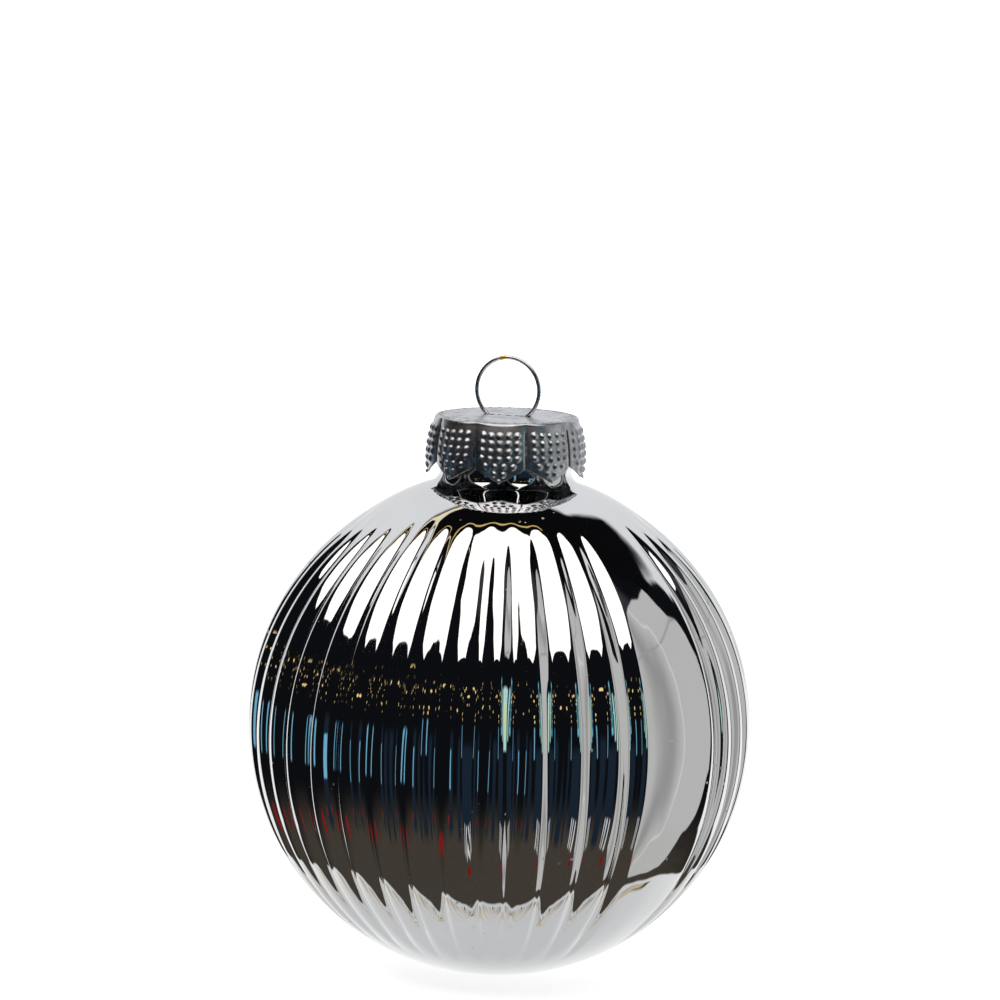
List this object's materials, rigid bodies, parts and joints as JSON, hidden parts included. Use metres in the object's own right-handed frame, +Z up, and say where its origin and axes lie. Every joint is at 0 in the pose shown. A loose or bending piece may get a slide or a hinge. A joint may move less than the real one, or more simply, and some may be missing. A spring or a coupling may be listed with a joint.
{
  "type": "glass ball ornament",
  "caption": "Fluted mirror-glass ball with a neck, closed by a beaded petal cap that carries a wire hanging ring on spring legs.",
  "frame": {"origin": "the ball's lowest point, on the axis of the neck", "axes": "+Z up along the neck's axis; the hanger's ring lies in the XZ plane"},
  "size_m": [0.08, 0.08, 0.099],
  "materials": {
    "mirror_glass": "polished clear glass, silvered behind",
    "silver_film": "bright silvering, seen from inside",
    "cap_aluminium": "satin stamped sheet with raised beads",
    "hanger_steel": "bright plated wire"
  },
  "bodies": {
    "ball": {"glass_ball": "mirror_glass", "silver_lining": "silver_film"},
    "cap": {"cap": "cap_aluminium"},
    "ring": {"hanger_ring": "hanger_steel"},
    "leg_left": {"hanger_leg_left": "hanger_steel"},
    "leg_right": {"hanger_leg_right": "hanger_steel"}
  },
  "joints": [
    {"name": "cap_lift", "type": "slide", "parent": "ball", "child": "cap", "axis": [0, 0, 1], "range_m": [0, 0.0175]},
    {"name": "ring_swing", "type": "hinge", "parent": "cap", "child": "ring", "pos_m": [0, 0, 0.08935], "axis": [1, 0, 0], "range_deg": [-8, 8]},
    {"name": "leg_left_flex", "type": "hinge", "parent": "ring", "child": "leg_left", "pos_m": [-0.00313, 0, 0.08935], "axis": [0, 1, 0], "range_deg": [-30.6, 0]},
    {"name": "leg_right_flex", "type": "hinge", "parent": "ring", "child": "leg_right", "pos_m": [0.00313, 0, 0.08935], "axis": [0, 1, 0], "range_deg": [0, 30.6]}
  ],
  "couplings": [
    {"joint": "leg_left_flex", "follows": "cap_lift", "rad_per_m": -30.42},
    {"joint": "leg_right_flex", "follows": "cap_lift", "rad_per_m": 30.42}
  ]
}
